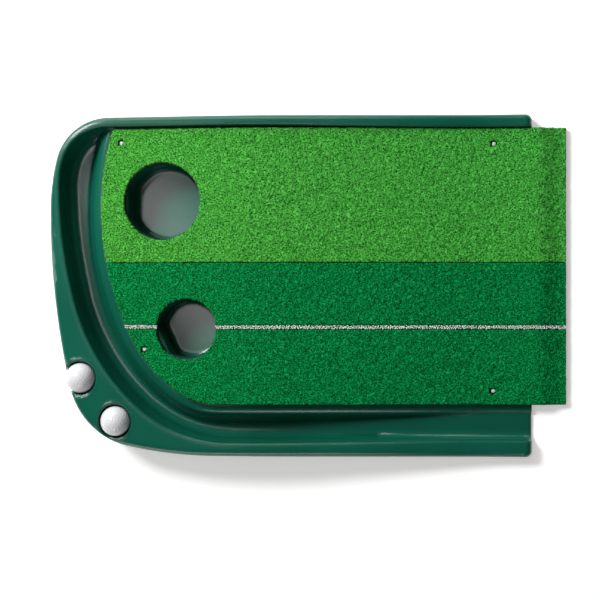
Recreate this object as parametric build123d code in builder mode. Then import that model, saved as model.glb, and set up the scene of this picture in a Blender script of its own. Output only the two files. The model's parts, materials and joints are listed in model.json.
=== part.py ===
"""Practice putting mat: a moulded return tray, two turf lanes, push rivets, pads and two balls.

Frame: millimetres, +Z up, floor at Z = 0, origin below the middle of the whole mat.
The lanes run along X. The cups are at the -X end and the open mouth of the tray is at +X.
"""

from build123d import *
from math import atan2, cos, radians, sin, tan
import os

os.makedirs("parts", exist_ok=True)

# Overall plan
half_length = 366.5
half_width = 242.0
mouth_x = 319.0
corner_r = 10.0
skin = 2.5
draft = 2.0

# Each curved edge is a chain of tangent arcs (radius, degrees), from the front side round the end
outline_start = -130.6
outline_front_bends = [(589, 11.9), (111, 64.9), (1102, 13.2)]
outline_back_bends = [(300, 14), (80, 76)]

basin_front_y = -221.0
basin_back_y = 226.5
basin_start = -106.2
basin_front_bends = [(194, 41.1), (301, 33.3), (638, 15.6)]
basin_back_bends = [(105, 20), (66, 70)]
basin_draft = 5.0
basin_foot_r = 10.0

lane_front_y = -168.0
lane_back_y = 223.0
lane_start = -125.3
lane_front_bends = [(98, 34.6), (205, 29), (409, 26.4)]
lane_back_bends = [(394, 17)]
seam_y = 32.5
seat_gap = 0.5
seat_width = 30.0
seat_start = 40.0

# Heights of the rim and of the bed under the turf: level at the cups, then a ramp to the mouth
rim_high = 64.0
rim_low = 22.0
bed_high = 48.0
bed_low = 8.0
ramp_top_x = -72.0
ramp_foot_x = 262.0
ramp_r = 780.0
rim_outer_r = 9.0
rim_inner_r = 3.2
crest_inset = 11.4
bed_margin = 11.0
shoulder_r = 14.0
shoulder_draft = 30.0
bed_fall = 90.0
join_x = -122.0

# The gutter's floor is one tilted plane that drains to the mouth
gutter_origin = (-330.0, -200.0, 17.5)
gutter_fall_x = -0.0195
gutter_fall_y = 0.0055

# Turf
backing = 2.5
pile = 6.5
turf_droop_x = 331.0
turf_floor_x = 357.0
droop_r = 45.0
line_y = -58.3
line_width = 5.0
line_root = 1.5
line_proud = 0.5
rivet_room = 0.1
tape_width = 50.0
tape_thickness = 0.4

# Cups, sized for a regulation ball and hole
large_cup = (-201.8, 119.9)
large_cup_r = 54.0
large_flat = 49.0
large_flat_angle = 180.0
small_cup = (-167.0, -61.2)
small_cup_r = 42.0
small_flat = 35.0
small_flat_angle = 205.0
cup_floor = 6.5
cup_draft = 3.0
cup_foot_r = 5.0
cup_corner_r = 9.0
cup_mouth_margin = 1.5

# Balls and their pockets
ball_r = 42.67 / 2
ball_gap = 0.3
pocket_r = 24.0
pocket_floor = 36.0
pocket_foot_r = 12.0
ball_places = {"ball_left": (-319.5, -131.0), "ball_right": (-268.5, -192.0)}

# Push rivets and the retainers under the skin
rivet_places = [(-260.9, 203.2), (265.5, 200.3), (-227.5, -89.9), (264.9, -148.1)]
head_r = 3.5
head_height = 4.2
head_dome_r = 2.8
shank_r = 1.6
hole_r = 1.66
retainer_r = 5.0
retainer_thickness = 1.2
shank_below = 4.5
shank_overlap = 1.0
retainer_chamfer = 0.3

# Non-slip pads
large_pad_r = 44.0
small_pad_r = 30.0
mouth_pad_x = (286.0, 310.0)
mouth_pad_y = (-140.0, 195.0)
mouth_pad_corner_r = 6.0
pad_edge_r = 0.8

# Spare length of the blocks used for cutting, and the smallest size that counts
reach = 60.0
tall = 200.0
tiny = 0.5
level_normal = 0.9


def bend_rise(bends, heading):
    """Rise along Y of a chain of clockwise arcs that starts at a heading in degrees."""
    rise = 0.0
    for radius, turn in bends:
        rise += radius * (cos(radians(heading - turn)) - cos(radians(heading)))
        heading -= turn
    return rise


def curved_end(start, front_bends, back_bends, back_y):
    """Draw arcs from the front edge round the -X end, with a straight between the two groups."""
    place = Vector(*start)
    heading = Vector(-1, 0)
    for radius, turn in front_bends:
        arc = JernArc(place, heading, radius, -turn)
        place = arc @ 1
        heading = arc % 1
    straight = back_y - place.Y - bend_rise(back_bends, 90)
    if straight > 0:
        place = Line(place, place + heading * straight) @ 1
    for radius, turn in back_bends:
        arc = JernArc(place, heading, radius, -turn)
        place = arc @ 1
        heading = arc % 1
    return place, heading


def outline_region(end_x):
    """Plan of the tray at the floor."""
    with BuildSketch() as plan:
        with BuildLine():
            start = (outline_start, -half_width)
            last, _ = curved_end(start, outline_front_bends, outline_back_bends, half_width)
            corners = [last, (end_x, half_width), (end_x, -half_width), start]
            FilletPolyline(*corners, radius=corner_r)
        make_face()
    return plan.sketch


def basin_region(end_x):
    """Plan of everything inside the rim, open at the mouth."""
    with BuildSketch() as plan:
        with BuildLine():
            start = (basin_start, basin_front_y)
            last, _ = curved_end(start, basin_front_bends, basin_back_bends, basin_back_y)
            Polyline(last, (end_x, basin_back_y), (end_x, basin_front_y), start)
        make_face()
    return plan.sketch


def lane_region(end_x, extra=0.0):
    """Plan of the bed and turf, with the curved end beside the gutter."""
    with BuildSketch() as plan:
        with BuildLine():
            start = (lane_start, lane_front_y)
            last, heading = curved_end(start, lane_front_bends, lane_back_bends, lane_back_y)
            if extra:
                last = Line(last, last + heading * extra) @ 1
            Polyline(last, (end_x, last.Y), (end_x, lane_front_y), start)
        make_face()
    return plan.sketch


def ramp_points(high, low, start_x, end_x):
    """Corners of the side profile shared by the rim, the bed and the turf."""
    return [(start_x, high), (ramp_top_x, high), (ramp_foot_x, low), (end_x, low)]


def profile_height(x, high, low):
    """Height of the side profile at a place along X."""
    slope = atan2(high - low, ramp_foot_x - ramp_top_x)
    tangent = ramp_r * tan(slope / 2)
    if x <= ramp_top_x - tangent:
        return high
    if x >= ramp_foot_x + tangent:
        return low
    if x <= ramp_top_x + tangent * cos(slope):
        run = x - (ramp_top_x - tangent)
        return high - ramp_r + (ramp_r**2 - run**2) ** 0.5
    if x >= ramp_foot_x - tangent * cos(slope):
        run = ramp_foot_x + tangent - x
        return low + ramp_r - (ramp_r**2 - run**2) ** 0.5
    return high - tan(slope) * (x - ramp_top_x)


def above_profile(high, low, top):
    """Solid block of all space above a ramp profile."""
    side = half_length + reach
    with BuildPart() as block:
        with BuildSketch(Plane.XZ.offset(-side)):
            with BuildLine():
                FilletPolyline(*ramp_points(high, low, -side, side), radius=ramp_r)
                Polyline((side, low), (side, top), (-side, top), (-side, high))
            make_face()
        extrude(amount=2 * side)
    return block.part


def below_gutter(lower):
    """Solid block of all space below the gutter's tilted floor."""
    normal = Vector(-gutter_fall_x, -gutter_fall_y, 1)
    floor_plane = Plane(origin=gutter_origin, x_dir=(1, 0, gutter_fall_x), z_dir=normal)
    side = 4 * half_length
    with BuildPart() as block:
        with BuildSketch(floor_plane.offset(-lower)):
            Rectangle(side, side)
        extrude(amount=-2 * reach)
    return block.part


def basin_space(grow):
    """Space inside the rim and above the gutter floor, with a rounded foot."""
    with BuildPart() as space:
        with BuildSketch(Plane.XY.offset(rim_high)):
            add(basin_region(mouth_x + reach))
            if grow:
                offset(amount=grow, kind=Kind.INTERSECTION)
        extrude(amount=-2 * reach, taper=basin_draft)
        add(below_gutter(grow), mode=Mode.SUBTRACT)
        foot = space.faces().sort_by(Axis.Z)[0].edges()
        fillet(foot.filter_by(lambda e: e.bounding_box().min.X < mouth_x), basin_foot_r + grow)
        with BuildSketch(Plane.XY.offset(rim_high)):
            add(basin_region(mouth_x + reach))
            if grow:
                offset(amount=grow, kind=Kind.INTERSECTION)
        extrude(amount=reach)
    return space.part


def bed_mass(shrink):
    """The raised bed: a rounded, sloping end beside the gutter and a straight ramp to the mouth."""
    top = bed_high - shrink
    margin = bed_margin - shrink
    with BuildPart() as mass:
        with BuildSketch(Plane.XY.offset(top)):
            add(lane_region(reach, reach))
            offset(amount=margin, kind=Kind.INTERSECTION)
        extrude(amount=-bed_fall, taper=-shoulder_draft)
        rim_edges = mass.faces().sort_by(Axis.Z)[-1].edges()
        fillet(rim_edges.filter_by(lambda e: e.center().X < join_x), shoulder_r - shrink)
        split(bisect_by=Plane.YZ.offset(join_x), keep=Keep.BOTTOM)
        section = mass.faces().sort_by(Axis.X)[-1]
        with BuildLine(Plane.XZ) as ramp:
            FilletPolyline(*ramp_points(top, bed_low - shrink, join_x, mouth_x), radius=ramp_r)
        sweep(sections=section, path=ramp.line)
    return mass.part


def cup_space(place, radius, flat, flat_angle, grow):
    """Space of one cup: a drafted round well with a flat side and a rounded foot."""
    height = rim_high - cup_floor
    mouth_r = radius + cup_mouth_margin + grow
    foot_r = mouth_r - (bed_high - cup_floor) * tan(radians(cup_draft))
    side = 4 * radius
    turned = Plane(origin=(*place, 0), x_dir=(cos(radians(flat_angle)), sin(radians(flat_angle)), 0))
    with BuildPart() as space:
        with BuildSketch(turned.offset(cup_floor - grow)) as plan:
            Circle(foot_r)
            with Locations((flat + grow + side / 2, 0)):
                Rectangle(side, side, mode=Mode.SUBTRACT)
            fillet(plan.vertices(), cup_corner_r + grow)
        extrude(amount=height, taper=-cup_draft)
        fillet(space.faces().sort_by(Axis.Z)[0].edges(), cup_foot_r + grow)
    return space.part


def pocket_space(place, grow):
    """Space of one ball pocket: a round well with a bowl-shaped foot."""
    with BuildPart() as space:
        with BuildSketch(Plane.XY.offset(pocket_floor - grow)):
            with Locations(place):
                Circle(pocket_r + grow)
        extrude(amount=rim_high)
        fillet(space.faces().sort_by(Axis.Z)[0].edges(), pocket_foot_r + grow)
    return space.part


def bed_bounds(inset):
    """Block that keeps the bed between the back rim and the mouth."""
    with BuildPart() as block:
        with BuildSketch():
            Rectangle(2 * (mouth_x - inset), 2 * (basin_back_y + skin))
        extrude(amount=rim_high)
    return block.part


def turf_seat(grow):
    """Room for the turf's back edge at the foot of the back rim."""
    edge_y = lane_back_y + seat_gap + grow
    start_x = seat_start - grow
    with BuildPart() as seat:
        with BuildSketch():
            with Locations((start_x, edge_y)):
                Rectangle(2 * half_length, seat_width, align=(Align.MIN, Align.MAX))
        extrude(amount=tall)
        above = above_profile(bed_high - grow, bed_low - grow, tall)
        add(above, mode=Mode.INTERSECT)
    return seat.part


def tray_mass(inset):
    """The tray's outer form, or with an inset the hollow under its skin."""
    top = rim_high + reach
    with BuildPart() as mass:
        with BuildSketch(Plane.XY.offset(top)):
            add(outline_region(mouth_x))
            offset(amount=-inset - top * tan(radians(draft)), kind=Kind.INTERSECTION)
        extrude(amount=-top, taper=-draft)
        add(above_profile(rim_high - inset, rim_low - inset, tall), mode=Mode.SUBTRACT)
        crest = mass.faces().filter_by(lambda f: f.normal_at().Z > level_normal).edges()
        fillet(crest, rim_outer_r - inset)
        add(basin_space(inset), mode=Mode.SUBTRACT)
        inner_crest = mass.edges().filter_by(lambda e: on_inner_crest(e, inset))
        fillet(inner_crest, rim_inner_r - inset)
        add(bed_mass(inset) & bed_bounds(inset))
        add(turf_seat(inset), mode=Mode.SUBTRACT)
        for place, radius, flat, angle in cups:
            add(cup_space(place, radius, flat, angle, inset), mode=Mode.SUBTRACT)
        for place in ball_places.values():
            add(pocket_space(place, inset), mode=Mode.SUBTRACT)
    return mass.part


def on_inner_crest(edge, inset):
    """Whether an edge is where the rim's top meets the wall of the basin."""
    middle = edge @ 0.5
    level = profile_height(middle.X, rim_high, rim_low) - inset
    size = edge.bounding_box().size
    across_end = size.X < tiny and middle.X > mouth_x - reach
    inside = crest_core.is_inside(Vector(middle.X, middle.Y, 0))
    return inside and abs(middle.Z - level) < tiny and not across_end


def ramp_solid(lift, thickness, front_y, back_y):
    """A layer of the mat in side profile: on the bed, down over the mouth and flat on the floor."""
    start_x = -half_length
    points = [(x, z + lift) for x, z in ramp_points(bed_high, bed_low, start_x, turf_droop_x)]
    points += [(turf_floor_x, lift), (half_length, lift)]
    radii = [ramp_r, ramp_r, droop_r, droop_r]
    with BuildPart() as layer:
        with BuildSketch(Plane.XZ.offset(-back_y)):
            with BuildLine():
                FilletPolyline(*points, radius=radii)
                upper = [(x, z + thickness) for x, z in points]
                FilletPolyline(*upper, radius=radii)
                Line(points[0], upper[0])
                Line(points[-1], upper[-1])
            make_face()
        extrude(amount=back_y - front_y)
    return layer.part


def cup_holes():
    """Round holes through the turf, over the cups."""
    with BuildPart() as holes:
        for place, radius, _, _ in cups:
            with BuildSketch():
                with Locations(place):
                    Circle(radius)
        extrude(amount=tall)
    return holes.part


def rivet_holes(radius):
    """Round holes on the four rivet axes."""
    with BuildPart() as holes:
        with BuildSketch():
            with Locations(*rivet_places):
                Circle(radius)
        extrude(amount=tall)
    return holes.part


def line_strip(thickness):
    """The tufted guide line along the slow lane."""
    front_y = line_y - line_width / 2
    return ramp_solid(backing + line_root, thickness, front_y, front_y + line_width)


def lane_layer(name, lift, thickness, front_y, back_y, hole):
    """One layer of one lane, cut to the plan with its cup and rivet holes."""
    with BuildPart() as layer:
        with BuildSketch():
            add(lane_region(half_length))
        extrude(amount=tall)
        add(ramp_solid(lift, thickness, front_y, back_y), mode=Mode.INTERSECT)
        add(cup_holes(), mode=Mode.SUBTRACT)
        add(rivet_holes(hole), mode=Mode.SUBTRACT)
        if name == "slow_turf":
            add(line_strip(2 * pile), mode=Mode.SUBTRACT)
        if name.endswith("backing"):
            add(tape_solid(), mode=Mode.SUBTRACT)
    write(layer.part, name)


def tape_solid():
    """Thin tape under the joint of the two lanes."""
    return ramp_solid(0, tape_thickness, seam_y - tape_width / 2, seam_y + tape_width / 2)


def write(solid, name):
    """Label one finished piece and write its file."""
    solid.label = name
    export_step(solid, f"parts/{name}.step")


cups = [
    (large_cup, large_cup_r, large_flat, large_flat_angle),
    (small_cup, small_cup_r, small_flat, small_flat_angle),
]
crest_core = offset(outline_region(mouth_x), amount=-crest_inset).face()

# Return tray: the outer form less the hollow under its skin
with BuildPart() as return_tray:
    add(tray_mass(0))
    add(tray_mass(skin), mode=Mode.SUBTRACT)
    add(rivet_holes(hole_r), mode=Mode.SUBTRACT)
write(return_tray.part, "return_tray")

# Turf: pile and backing of each lane, the seam tape and the guide line
lane_layer("slow_turf", backing, pile, lane_front_y, seam_y, head_r + rivet_room)
lane_layer("fast_turf", backing, pile, seam_y, lane_back_y, head_r + rivet_room)
lane_layer("slow_turf_backing", 0, backing, lane_front_y, seam_y, hole_r)
lane_layer("fast_turf_backing", 0, backing, seam_y, lane_back_y, hole_r)

with BuildPart() as seam_tape:
    with BuildSketch():
        add(lane_region(half_length))
    extrude(amount=tall)
    add(tape_solid(), mode=Mode.INTERSECT)
write(seam_tape.part, "seam_tape")

with BuildPart() as guide_line:
    with BuildSketch():
        add(lane_region(half_length))
    extrude(amount=tall)
    add(line_strip(pile - line_root + line_proud), mode=Mode.INTERSECT)
    add(cup_holes(), mode=Mode.SUBTRACT)
write(guide_line.part, "guide_line")

# Push rivets, each with a domed head in the pile and a retainer under the skin
for index, (x, y) in enumerate(rivet_places, 1):
    seat = profile_height(x - head_r, bed_high, bed_low) + backing
    under = profile_height(x + retainer_r, bed_high, bed_low) - skin - tape_thickness
    with BuildPart() as turf_rivet:
        with BuildSketch(Plane.XY.offset(seat)):
            with Locations((x, y)):
                Circle(head_r)
        extrude(amount=head_height)
        fillet(turf_rivet.edges().sort_by(Axis.Z)[-1], head_dome_r)
        with BuildSketch(Plane.XY.offset(under - shank_below)):
            with Locations((x, y)):
                Circle(shank_r)
        extrude(amount=seat + shank_overlap - (under - shank_below))
        chamfer(turf_rivet.edges().sort_by(Axis.Z)[0], shank_r / 3)
    write(turf_rivet.part, f"turf_rivet_{index}")

    with BuildPart() as rivet_retainer:
        with BuildSketch(Plane.XY.offset(under - retainer_thickness)):
            with Locations((x, y)):
                Circle(retainer_r)
                Circle(hole_r, mode=Mode.SUBTRACT)
        extrude(amount=retainer_thickness)
        chamfer(rivet_retainer.edges().filter_by(GeomType.CIRCLE).sort_by(Axis.Z)[:2], retainer_chamfer)
    write(rivet_retainer.part, f"rivet_retainer_{index}")

# Non-slip pads between the floor and the underside of the tray
for name, place, radius in [
    ("large_cup_pad", large_cup, large_pad_r),
    ("small_cup_pad", small_cup, small_pad_r),
]:
    with BuildPart() as pad:
        with BuildSketch():
            with Locations(place):
                Circle(radius)
                Circle(radius / 2, mode=Mode.SUBTRACT)
        extrude(amount=cup_floor - skin)
        fillet(pad.edges().group_by(Axis.Z)[0], pad_edge_r)
    write(pad.part, name)

with BuildPart() as mouth_pad:
    with BuildSketch():
        with Locations((sum(mouth_pad_x) / 2, sum(mouth_pad_y) / 2)):
            Rectangle(mouth_pad_x[1] - mouth_pad_x[0], mouth_pad_y[1] - mouth_pad_y[0])
    extrude(amount=bed_low - skin)
    fillet(mouth_pad.edges().filter_by(Axis.Z), mouth_pad_corner_r)
    fillet(mouth_pad.edges().group_by(Axis.Z)[0], pad_edge_r)
write(mouth_pad.part, "mouth_pad")

# Balls, standing in their pockets
for name, place in ball_places.items():
    with BuildPart() as ball:
        with Locations((*place, pocket_floor + ball_gap + ball_r)):
            Sphere(ball_r)
    write(ball.part, name)
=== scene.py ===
"""The looks of the practice putting mat: glossy moulded tray, tufted turf lanes, clear rivets and balls."""
import json
import math

import bmesh
import bpy
import numpy as np
from mathutils import Matrix, Vector
from mathutils.bvhtree import BVHTree


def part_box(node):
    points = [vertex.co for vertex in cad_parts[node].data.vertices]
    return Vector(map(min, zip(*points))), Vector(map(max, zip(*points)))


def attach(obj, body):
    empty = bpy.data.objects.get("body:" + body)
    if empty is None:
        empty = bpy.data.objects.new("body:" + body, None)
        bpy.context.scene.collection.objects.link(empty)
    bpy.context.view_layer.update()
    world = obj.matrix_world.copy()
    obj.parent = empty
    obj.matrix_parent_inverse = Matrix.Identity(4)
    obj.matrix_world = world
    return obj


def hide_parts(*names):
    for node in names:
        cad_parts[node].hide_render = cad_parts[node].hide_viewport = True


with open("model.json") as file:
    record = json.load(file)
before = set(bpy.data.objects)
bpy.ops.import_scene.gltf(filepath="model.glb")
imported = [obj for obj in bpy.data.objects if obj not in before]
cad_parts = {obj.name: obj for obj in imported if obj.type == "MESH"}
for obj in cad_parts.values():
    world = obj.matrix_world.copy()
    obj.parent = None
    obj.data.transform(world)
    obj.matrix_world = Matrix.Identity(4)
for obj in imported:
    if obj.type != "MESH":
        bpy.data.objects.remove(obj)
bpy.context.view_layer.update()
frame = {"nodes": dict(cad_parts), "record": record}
nodes = frame["nodes"]
random = np.random.default_rng(11)

MM = 0.001

# Camera
SENSOR_WIDTH = 36
LENS = 62.3
CAMERA_PLACE = (142.25 * MM, -20 * MM, 1500 * MM)
CAMERA_TARGET = (-7.75 * MM, -20 * MM, 30 * MM)

# Studio
ORIGIN = (0, 0, 0)
FLOOR_HALF = 60.0
FLOOR_GLOW = 0.36
SKY_STRENGTH = 0.04

# The Mix node's colour sockets, which share their names with its number sockets
MIX_FIRST = 6
MIX_SECOND = 7
MIX_RESULT = 2

# Tray: how far its creases are softened in the shading
CREASE_SOFTNESS = 8 * MM
BEVEL_SAMPLES = 8

# Rays down onto the CAD nodes start this far above them and count only faces about as level as this
RAY_CLEARANCE = 0.01
LEVEL_NORMAL = 0.5

# Turf: where the painted light that lightens its colour starts and ends along X, and its pile
PAINTED_LIGHT_START = -0.29
PAINTED_LIGHT_END = 0.36
PILE_STEP = 1.75 * MM
PILE_DEPTH = 6.5 * MM
PILE_JITTER = 0.3
PILE_UNEVENNESS = 1.5 * MM
SKIRT_SHARE = 0.75

# Guide line: how far its tufts of yarn stray (along, as a share of their spacing, and across, in mm),
# how far they lean and how thick they are, in mm
YARN_SPACING = 1.9 * MM
YARN_ROWS = (-1, 0, 1)
YARN_ROW_GAP = 1.5 * MM
YARN_STRAY_ALONG = 0.4
YARN_STRAY_ACROSS = 0.5
YARN_LEAN_ALONG = 0.7
YARN_LEAN_ACROSS = 0.9
YARN_THINNEST = 0.65
YARN_THICKEST = 1.05
YARN_SIDES = 6
# A tuft's rings: height from the top of the line, width as a share of its radius, share of its lean
YARN_RINGS = ((-3.5 * MM, 0.8, 0.0), (-1.0 * MM, 1.0, 0.4), (-0.2 * MM, 0.8, 0.9), (0.25 * MM, 0.35, 1.2))

# Balls
DIMPLES = 336
DIMPLE_HALF_ANGLE = math.radians(5.2)
DIMPLE_DEPTH = 0.28 * MM
BALL_SUBDIVISIONS = 6


# ---------------------------------------------------------------- camera, lights and floor
def point_at(thing, target):
    """Turn a camera or lamp to look at a point, with +Y upwards in its picture."""
    back = (thing.location - Vector(target)).normalized()
    right = Vector((0, 1, 0)).cross(back).normalized()
    turn = Matrix((right, back.cross(right), back)).transposed()
    thing.rotation_euler = turn.to_euler()


def make_camera():
    """Almost straight above the mat, a little towards its mouth."""
    data = bpy.data.cameras.new("camera")
    data.sensor_width = SENSOR_WIDTH
    data.lens = LENS
    camera = bpy.data.objects.new("camera", data)
    bpy.context.scene.collection.objects.link(camera)
    camera.location = CAMERA_PLACE
    point_at(camera, CAMERA_TARGET)
    bpy.context.scene.camera = camera


def make_light(name, place, target, size, power, spin=0.0):
    """A rectangular soft box, turned about its own axis by spin in degrees."""
    data = bpy.data.lights.new(name, "AREA")
    data.shape = "RECTANGLE"
    data.size, data.size_y = size
    data.energy = power
    lamp = bpy.data.objects.new(name, data)
    bpy.context.scene.collection.objects.link(lamp)
    lamp.location = place
    point_at(lamp, target)
    turned = lamp.rotation_euler.to_matrix() @ Matrix.Rotation(math.radians(spin), 3, "Z")
    lamp.rotation_euler = turned.to_euler()


def make_floor():
    """A wide, pale, faintly glowing floor."""
    mesh = bpy.data.meshes.new("floor")
    half = FLOOR_HALF
    corners = [(-half, -half, 0), (half, -half, 0), (half, half, 0), (-half, half, 0)]
    mesh.from_pydata(corners, [], [(0, 1, 2, 3)])
    floor = bpy.data.objects.new("floor", mesh)
    bpy.context.scene.collection.objects.link(floor)
    material, _, shader = new_material("floor")
    shader.inputs["Base Color"].default_value = (0.97, 0.96, 0.96, 1)
    shader.inputs["Roughness"].default_value = 0.9
    shader.inputs["Specular IOR Level"].default_value = 0.1
    shader.inputs["Emission Color"].default_value = (1.0, 0.97, 0.96, 1)
    shader.inputs["Emission Strength"].default_value = FLOOR_GLOW
    mesh.materials.append(material)


def make_studio():
    """The floor, a dim sky, a key box at the back left, a long box over the cups and a fill on each side."""
    make_floor()
    world = bpy.data.worlds.new("studio")
    world.use_nodes = True
    sky = world.node_tree.nodes["Background"]
    sky.inputs["Color"].default_value = (0.95, 0.97, 1, 1)
    sky.inputs["Strength"].default_value = SKY_STRENGTH
    bpy.context.scene.world = world
    bpy.context.scene.view_settings.view_transform = "Standard"

    make_light("key", place=(-1.5, 1.3, 1.7), target=ORIGIN, size=(0.8, 0.8), power=80)
    make_light(
        "over_cups", place=(-0.50, 0.10, 1.5), target=(-0.47, 0.10, 0.0), size=(0.22, 0.66), power=2.0,
        spin=33.5)
    make_light("back_fill", place=(-0.5, 2.6, 1.1), target=ORIGIN, size=(2.4, 0.8), power=30)
    make_light("front_fill", place=(-0.5, -2.6, 1.1), target=ORIGIN, size=(2.4, 0.8), power=26)


# ---------------------------------------------------------------- material nodes
def new_material(name):
    """A node material, its tree and its principled shader."""
    material = bpy.data.materials.new(name)
    material.use_nodes = True
    return material, material.node_tree, material.node_tree.nodes["Principled BSDF"]


def object_place(tree):
    """The shaded point's place in object space."""
    return tree.nodes.new("ShaderNodeTexCoord").outputs["Object"]


def noise(tree, scale, detail=2.0, rough=0.5):
    """A noise texture in object space."""
    texture = tree.nodes.new("ShaderNodeTexNoise")
    texture.inputs["Scale"].default_value = scale
    texture.inputs["Detail"].default_value = detail
    texture.inputs["Roughness"].default_value = rough
    tree.links.new(object_place(tree), texture.inputs["Vector"])
    return texture.outputs["Fac"]


def ramp(tree, factor, stops):
    """A colour ramp from (position, colour) pairs."""
    node = tree.nodes.new("ShaderNodeValToRGB")
    while len(node.color_ramp.elements) < len(stops):
        node.color_ramp.elements.new(0.5)
    for element, (position, colour) in zip(node.color_ramp.elements, stops):
        element.position = position
        element.color = (*colour, 1)
    tree.links.new(factor, node.inputs["Fac"])
    return node.outputs["Color"]


def multiply(tree, first, second):
    """Two colours multiplied."""
    mix = tree.nodes.new("ShaderNodeMix")
    mix.data_type = "RGBA"
    mix.blend_type = "MULTIPLY"
    mix.inputs["Factor"].default_value = 1.0
    tree.links.new(first, mix.inputs[MIX_FIRST])
    tree.links.new(second, mix.inputs[MIX_SECOND])
    return mix.outputs[MIX_RESULT]


def spread(tree, value, low, high):
    """A 0 to 1 value mapped to a range."""
    node = tree.nodes.new("ShaderNodeMapRange")
    node.inputs["To Min"].default_value = low
    node.inputs["To Max"].default_value = high
    tree.links.new(value, node.inputs["Value"])
    return node.outputs["Result"]


def along_mat(tree):
    """0 at the turf's end by the cups, 1 at its end past the mouth."""
    split = tree.nodes.new("ShaderNodeSeparateXYZ")
    tree.links.new(object_place(tree), split.inputs["Vector"])
    along = tree.nodes.new("ShaderNodeMapRange")
    along.inputs["From Min"].default_value = PAINTED_LIGHT_START
    along.inputs["From Max"].default_value = PAINTED_LIGHT_END
    tree.links.new(split.outputs["X"], along.inputs["Value"])
    return along.outputs["Result"]


def bump(tree, shader, height, strength, distance):
    """Small relief from a height value."""
    node = tree.nodes.new("ShaderNodeBump")
    node.inputs["Strength"].default_value = strength
    node.inputs["Distance"].default_value = distance
    tree.links.new(height, node.inputs["Height"])
    tree.links.new(node.outputs["Normal"], shader.inputs["Normal"])
    return node


# ---------------------------------------------------------------- materials
def plastic(name, dark, light, roughness, grain, softness=0.0):
    """Moulded plastic: colour drift, uneven gloss, fine grain, and creases that look rounded by softness."""
    material, tree, shader = new_material(name)
    colour = ramp(tree, noise(tree, scale=6.0, detail=3.0), [(0.3, dark), (0.7, light)])
    tree.links.new(colour, shader.inputs["Base Color"])
    gloss = spread(tree, noise(tree, scale=28.0, detail=4.0, rough=0.6), *roughness)
    tree.links.new(gloss, shader.inputs["Roughness"])
    relief = bump(tree, shader, noise(tree, scale=1400.0, detail=1.0), strength=grain, distance=0.2 * MM)
    if softness:
        rounding = tree.nodes.new("ShaderNodeBevel")
        rounding.samples = BEVEL_SAMPLES
        rounding.inputs["Radius"].default_value = softness
        tree.links.new(rounding.outputs["Normal"], relief.inputs["Normal"])
    return material


def turf(name, painted_gap_shade, body, painted_tip_highlight, fleck, painted_light_tint):
    """Cut pile: dark gaps of painted shade, fibres in two tones, bright tips of painted highlight, and
    painted light that makes it lighter towards the mouth.
    """
    material, tree, shader = new_material(name)
    fibres = noise(tree, scale=480.0, detail=2.0, rough=0.6)
    # The ramp paints shade into the gaps between fibres and a highlight onto their tips; body and fleck are
    # the fibres' own two tones.
    colour = ramp(tree, fibres, [(0.36, painted_gap_shade), (0.47, body), (0.57, painted_tip_highlight), (0.68, fleck)])
    clumps = ramp(tree, noise(tree, scale=170.0), [(0.32, (0.74, 0.76, 0.74)), (0.68, (1.2, 1.16, 1.2))])
    # Painted light: the pile's colour is made lighter towards the mouth.
    drift = ramp(tree, along_mat(tree), [(0.0, (1, 1, 1)), (1.0, painted_light_tint)])
    colour = multiply(tree, multiply(tree, colour, clumps), drift)
    tree.links.new(colour, shader.inputs["Base Color"])
    shader.inputs["Roughness"].default_value = 0.9
    shader.inputs["Specular IOR Level"].default_value = 0.04
    bump(tree, shader, fibres, strength=0.6, distance=0.8 * MM)
    return material


def fabric(name, dark, light, scale, roughness):
    """Yarn, foam or rubber: a fine two-tone grain."""
    material, tree, shader = new_material(name)
    grain = noise(tree, scale, detail=3.0, rough=0.6)
    tree.links.new(ramp(tree, grain, [(0.35, dark), (0.6, light)]), shader.inputs["Base Color"])
    shader.inputs["Roughness"].default_value = roughness
    shader.inputs["Specular IOR Level"].default_value = 0.2
    bump(tree, shader, grain, strength=0.5, distance=0.5 * MM)
    return material


def woven(name, dark, light):
    """A plain-woven tape: crossed waves of warp and weft."""
    material, tree, shader = new_material(name)
    place = object_place(tree)
    heights = []
    for direction in ("X", "Y"):
        wave = tree.nodes.new("ShaderNodeTexWave")
        wave.bands_direction = direction
        wave.inputs["Scale"].default_value = 220.0
        wave.inputs["Distortion"].default_value = 0.4
        tree.links.new(place, wave.inputs["Vector"])
        heights.append(wave.outputs["Color"])
    weave = multiply(tree, *heights)
    tree.links.new(ramp(tree, weave, [(0.1, dark), (0.7, light)]), shader.inputs["Base Color"])
    shader.inputs["Roughness"].default_value = 0.85
    bump(tree, shader, weave, strength=0.4, distance=0.3 * MM)
    return material


def clear(name, dark, light):
    """Clear moulded plastic with faint haze."""
    material, tree, shader = new_material(name)
    tint = ramp(tree, noise(tree, scale=300.0), [(0.3, dark), (0.7, light)])
    tree.links.new(tint, shader.inputs["Base Color"])
    haze = spread(tree, noise(tree, scale=500.0), 0.04, 0.14)
    tree.links.new(haze, shader.inputs["Roughness"])
    shader.inputs["Transmission Weight"].default_value = 0.35
    shader.inputs["IOR"].default_value = 1.49
    return material


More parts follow.
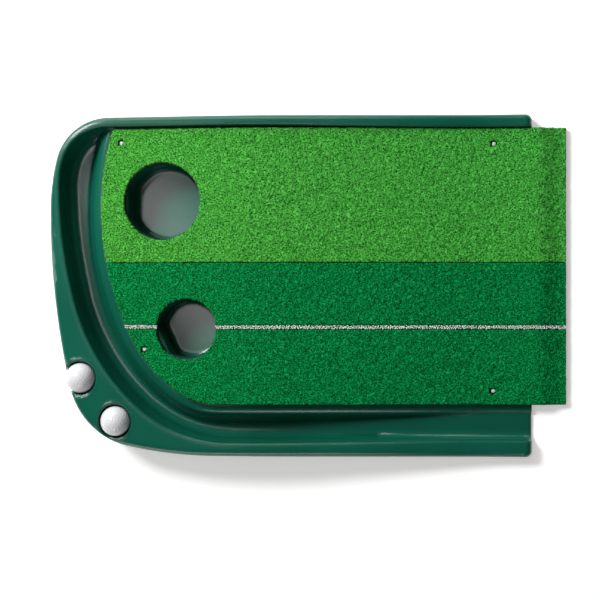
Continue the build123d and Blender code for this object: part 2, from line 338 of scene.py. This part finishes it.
def make_materials():
    """Every material by its slot in the record."""
    return {
        "tray_plastic": plastic(
            "tray_plastic", dark=(0.003, 0.080, 0.048), light=(0.0045, 0.105, 0.066), roughness=(0.15, 0.20),
            grain=0.05, softness=CREASE_SOFTNESS),
        # Each pile's darkest colour is painted shade between fibres, and its tip colour is a painted
        # highlight.
        "fast_pile": turf(
            "fast_pile", painted_gap_shade=(0.004, 0.050, 0.006), body=(0.042, 0.27, 0.028), painted_tip_highlight=(0.066, 0.36, 0.040),
            fleck=(0.13, 0.52, 0.09), painted_light_tint=(0.92, 1.12, 1.22)),
        "slow_pile": turf(
            "slow_pile", painted_gap_shade=(0.0, 0.030, 0.010), body=(0.0005, 0.14, 0.030), painted_tip_highlight=(0.001, 0.21, 0.044),
            fleck=(0.012, 0.36, 0.09), painted_light_tint=(1.0, 1.10, 1.12)),
        "turf_backing": fabric(
            "turf_backing", dark=(0.02, 0.024, 0.02), light=(0.05, 0.055, 0.05), scale=900.0, roughness=0.9),
        "line_yarn": fabric(
            "line_yarn", dark=(0.42, 0.50, 0.40), light=(0.86, 0.88, 0.84), scale=700.0, roughness=0.85),
        "tape": woven("tape", dark=(0.06, 0.06, 0.055), light=(0.26, 0.26, 0.24)),
        "clear_rivet": clear("clear_rivet", dark=(0.80, 0.93, 0.84), light=(0.95, 1.0, 0.96)),
        "retainer_plastic": plastic(
            "retainer_plastic", dark=(0.5, 0.51, 0.49), light=(0.6, 0.61, 0.58), roughness=(0.3, 0.42),
            grain=0.1),
        "pad_rubber": fabric(
            "pad_rubber", dark=(0.012, 0.012, 0.012), light=(0.03, 0.03, 0.03), scale=1100.0, roughness=0.8),
        "ball_cover": plastic(
            "ball_cover", dark=(0.64, 0.64, 0.66), light=(0.70, 0.70, 0.71), roughness=(0.16, 0.26),
            grain=0.02),
    }


# ---------------------------------------------------------------- shared mesh steps
def add_piece(name, mesh, slot, body, centre=ORIGIN):
    """A smooth-shaded mesh as a piece that rides on a body and takes a slot's material."""
    mesh.materials.append(materials[slot])
    mesh.polygons.foreach_set("use_smooth", [True] * len(mesh.polygons))
    piece = bpy.data.objects.new(name, mesh)
    bpy.context.scene.collection.objects.link(piece)
    piece.location = centre
    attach(piece, body)
    return piece


def mesh_of(name, points, faces):
    """A mesh from points and faces."""
    mesh = bpy.data.meshes.new(name)
    mesh.from_pydata(points, [], faces)
    mesh.validate()
    return mesh


def tree_of(node):
    """A search tree of a CAD node's surface."""
    thing = nodes[node]
    points = [thing.matrix_world @ v.co for v in thing.data.vertices]
    return BVHTree.FromPolygons(points, [tuple(p.vertices) for p in thing.data.polygons])


def top_at(surface, x, y, highest):
    """The point of a surface straight below a place over it, or None beside it and on steep sides."""
    start = Vector((x, y, highest + RAY_CLEARANCE))
    hit, normal = surface.ray_cast(start, Vector((0, 0, -1)))[:2]
    if hit is None or abs(normal.z) < LEVEL_NORMAL:
        return None
    return hit


# ---------------------------------------------------------------- turf pile
def tuft_tips(surface, low, high):
    """Tufts of uneven height on a surface, and their numbers in a grid, with -1 where there is none."""
    columns = int((high[0] - low[0]) / PILE_STEP) + 1
    rows = int((high[1] - low[1]) / PILE_STEP) + 1
    jitter = random.uniform(-PILE_JITTER, PILE_JITTER, (columns, rows, 2)) * PILE_STEP
    shortness = random.uniform(0, 1, (columns, rows))
    grid = -np.ones((columns, rows), int)
    points = []
    for i in range(columns):
        for j in range(rows):
            x = min(low[0] + (i + 0.5) * PILE_STEP + jitter[i, j, 0], high[0])
            y = min(low[1] + (j + 0.5) * PILE_STEP + jitter[i, j, 1], high[1])
            hit = top_at(surface, x, y, high[2])
            if hit is not None:
                grid[i, j] = len(points)
                points.append((x, y, hit.z - PILE_UNEVENNESS * shortness[i, j] ** 2))
    return points, grid


def whole_cells(grid):
    """The grid cells that have all four tufts, each with its tufts anticlockwise from above."""
    cells = {}
    for i in range(grid.shape[0] - 1):
        for j in range(grid.shape[1] - 1):
            corners = (grid[i, j], grid[i + 1, j], grid[i + 1, j + 1], grid[i, j + 1])
            if min(corners) >= 0:
                cells[i, j] = corners
    return cells


def cut_edges(cells):
    """The cell sides that no other cell shares, each as its two tufts."""
    edges = []
    for (i, j), corners in cells.items():
        neighbours = ((i, j - 1), (i + 1, j), (i, j + 1), (i - 1, j))
        for side, neighbour in enumerate(neighbours):
            if neighbour not in cells:
                edges.append((corners[side], corners[(side + 1) % 4]))
    return edges


def pile(name, node, slot):
    """A lane's pile as a grid of tufts, with a ragged cut edge that hangs down round it."""
    low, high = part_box(node)
    points, grid = tuft_tips(tree_of(node), low, high)
    cells = whole_cells(grid)
    faces = list(cells.values())
    foot = {}
    for edge in cut_edges(cells):
        for tuft in edge:
            if tuft not in foot:
                foot[tuft] = len(points)
                x, y, z = points[tuft]
                points.append((x, y, max(z - SKIRT_SHARE * PILE_DEPTH, low[2])))
        first, second = edge
        faces.append((first, foot[first], foot[second], second))
    piece = add_piece(name, mesh_of(name, points, faces), slot, "mat")
    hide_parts(node)
    return piece


# ---------------------------------------------------------------- guide line
def stray(reach):
    """A random number between -reach and reach."""
    return random.uniform(-reach, reach)


def add_tuft(points, faces, top):
    """One leaning tuft of yarn, closed at both ends, at a point on top of the line."""
    lean = Vector((stray(YARN_LEAN_ALONG), stray(YARN_LEAN_ACROSS), 0)) * MM
    radius = random.uniform(YARN_THINNEST, YARN_THICKEST) * MM
    start = len(points)
    for height, width, along in YARN_RINGS:
        for side in range(YARN_SIDES):
            angle = math.tau * side / YARN_SIDES
            spot = Vector((math.cos(angle), math.sin(angle), 0)) * radius * width
            points.append(tuple(top + spot + lean * along + Vector((0, 0, height))))
    last = start + (len(YARN_RINGS) - 1) * YARN_SIDES
    for ring in range(start, last, YARN_SIDES):
        for side in range(YARN_SIDES):
            a = ring + side
            b = ring + (side + 1) % YARN_SIDES
            faces.append((a, b, b + YARN_SIDES, a + YARN_SIDES))
    faces.append(tuple(range(last, last + YARN_SIDES)))
    faces.append(tuple(reversed(range(start, start + YARN_SIDES))))


def yarn(name, node, slot):
    """The guide line as three rows of leaning tufts that stand out of the pile."""
    surface = tree_of(node)
    low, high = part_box(node)
    middle = (low[1] + high[1]) / 2
    points = []
    faces = []
    x = low[0]
    while x < high[0]:
        for row in YARN_ROWS:
            across = middle + row * YARN_ROW_GAP + stray(YARN_STRAY_ACROSS) * MM
            along = x + stray(YARN_STRAY_ALONG) * YARN_SPACING
            top = top_at(surface, along, across, high[2])
            if top is not None:
                add_tuft(points, faces, top)
        x += YARN_SPACING
    piece = add_piece(name, mesh_of(name, points, faces), slot, "mat")
    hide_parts(node)


# ---------------------------------------------------------------- balls
def spiral_directions(count):
    """Evenly spaced directions on an upright golden spiral."""
    golden = math.pi * (3 - math.sqrt(5))
    height = 1 - 2 * (np.arange(count) + 0.5) / count
    turn = golden * np.arange(count)
    flat = np.sqrt(1 - height**2)
    return np.stack([flat * np.cos(turn), flat * np.sin(turn), height], axis=1)


def ball(name, node, slot):
    """A dimpled ball: shallow round dimples on an even spiral, none standing out of the sphere."""
    low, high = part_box(node)
    centre = (Vector(low) + Vector(high)) / 2
    radius = (high[0] - low[0]) / 2
    mesh = bpy.data.meshes.new(name)
    build = bmesh.new()
    bmesh.ops.create_icosphere(build, subdivisions=BALL_SUBDIVISIONS, radius=1.0)
    build.to_mesh(mesh)
    build.free()
    directions = np.empty(len(mesh.vertices) * 3)
    mesh.vertices.foreach_get("co", directions)
    directions = directions.reshape(-1, 3)
    directions /= np.linalg.norm(directions, axis=1)[:, None]
    nearest = np.max(directions @ spiral_directions(DIMPLES).T, axis=1)
    angle = np.arccos(np.clip(nearest, -1, 1)) / DIMPLE_HALF_ANGLE
    depth = np.clip(1 - angle**2, 0, None) * DIMPLE_DEPTH
    dimpled = directions * (radius - depth)[:, None]
    mesh.vertices.foreach_set("co", dimpled.ravel())
    piece = add_piece(name, mesh, slot, node, centre)
    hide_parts(node)


# ---------------------------------------------------------------- the scene
make_camera()
make_studio()
materials = make_materials()
for part in frame["record"]["subparts"]:
    for entry in nodes[part["node"]].material_slots:
        entry.material = materials[part["material_slot"]]

fast = pile("fast_pile", "fast_turf", "fast_pile")
slow = pile("slow_pile", "slow_turf", "slow_pile")
yarn("guide_tufts", "guide_line", "line_yarn")
ball("dimpled_ball_left", "ball_left", "ball_cover")
ball("dimpled_ball_right", "ball_right", "ball_cover")
